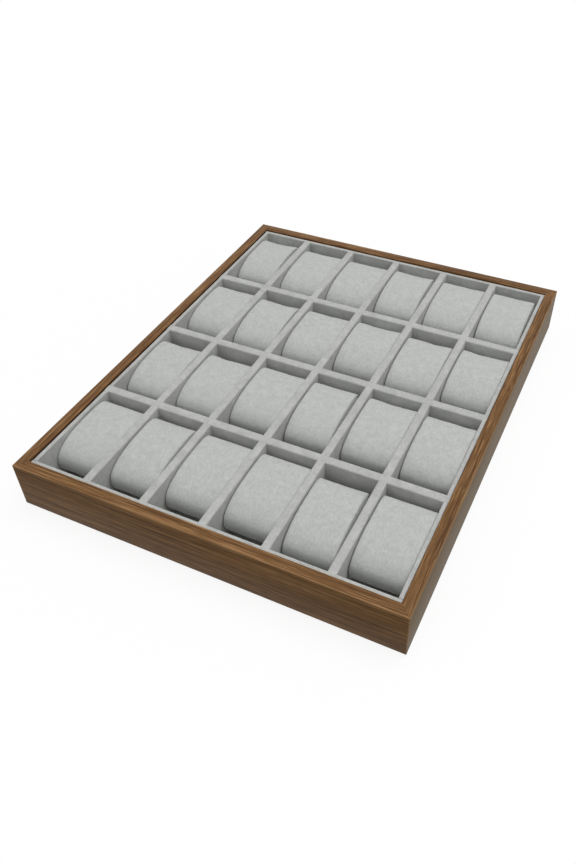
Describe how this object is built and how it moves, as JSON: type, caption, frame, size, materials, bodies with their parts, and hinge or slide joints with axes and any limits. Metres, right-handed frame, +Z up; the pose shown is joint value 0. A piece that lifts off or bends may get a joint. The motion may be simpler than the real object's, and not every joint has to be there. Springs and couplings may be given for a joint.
{
  "type": "watch display tray",
  "caption": "Flat open tray with a mitred wood frame and suede-covered dividers crossing into a grid of compartments, each holding a loose padded watch pillow.",
  "frame": {"origin": "on the surface that the tray stands on, under the tray's centre", "axes": "+X along a row of pillows, from left to right seen from the front; +Y from the front row to the back row; +Z up"},
  "size_m": [0.35, 0.438, 0.048],
  "materials": {
    "walnut_veneer": "satin walnut veneer with straight grain along each rail",
    "base_board": "raw fibreboard",
    "black_felt": "matte felt",
    "insert_suede": "matte pale grey suede covering",
    "pillow_suede": "matte pale grey suede, lightly mottled"
  },
  "bodies": {
    "root": {"frame_front_rail": "walnut_veneer", "frame_right_rail": "walnut_veneer", "frame_back_rail": "walnut_veneer", "frame_left_rail": "walnut_veneer", "base_panel": "base_board", "underside_felt": "black_felt", "floor_lining": "insert_suede", "liner_front": "insert_suede", "liner_back": "insert_suede", "liner_left": "insert_suede", "liner_right": "insert_suede", "row_divider_1": "insert_suede", "row_divider_2": "insert_suede", "row_divider_3": "insert_suede", "column_divider_1": "insert_suede", "column_divider_2": "insert_suede", "column_divider_3": "insert_suede", "column_divider_4": "insert_suede", "column_divider_5": "insert_suede", "pillow_r1_c1": "pillow_suede", "pillow_r1_c2": "pillow_suede", "pillow_r1_c3": "pillow_suede", "pillow_r1_c4": "pillow_suede", "pillow_r1_c5": "pillow_suede", "pillow_r1_c6": "pillow_suede", "pillow_r2_c1": "pillow_suede", "pillow_r2_c2": "pillow_suede", "pillow_r2_c3": "pillow_suede", "pillow_r2_c4": "pillow_suede", "pillow_r2_c5": "pillow_suede", "pillow_r2_c6": "pillow_suede", "pillow_r3_c1": "pillow_suede", "pillow_r3_c2": "pillow_suede", "pillow_r3_c3": "pillow_suede", "pillow_r3_c4": "pillow_suede", "pillow_r3_c5": "pillow_suede", "pillow_r3_c6": "pillow_suede", "pillow_r4_c1": "pillow_suede", "pillow_r4_c2": "pillow_suede", "pillow_r4_c3": "pillow_suede", "pillow_r4_c4": "pillow_suede", "pillow_r4_c5": "pillow_suede", "pillow_r4_c6": "pillow_suede"}
  },
  "joints": []
}
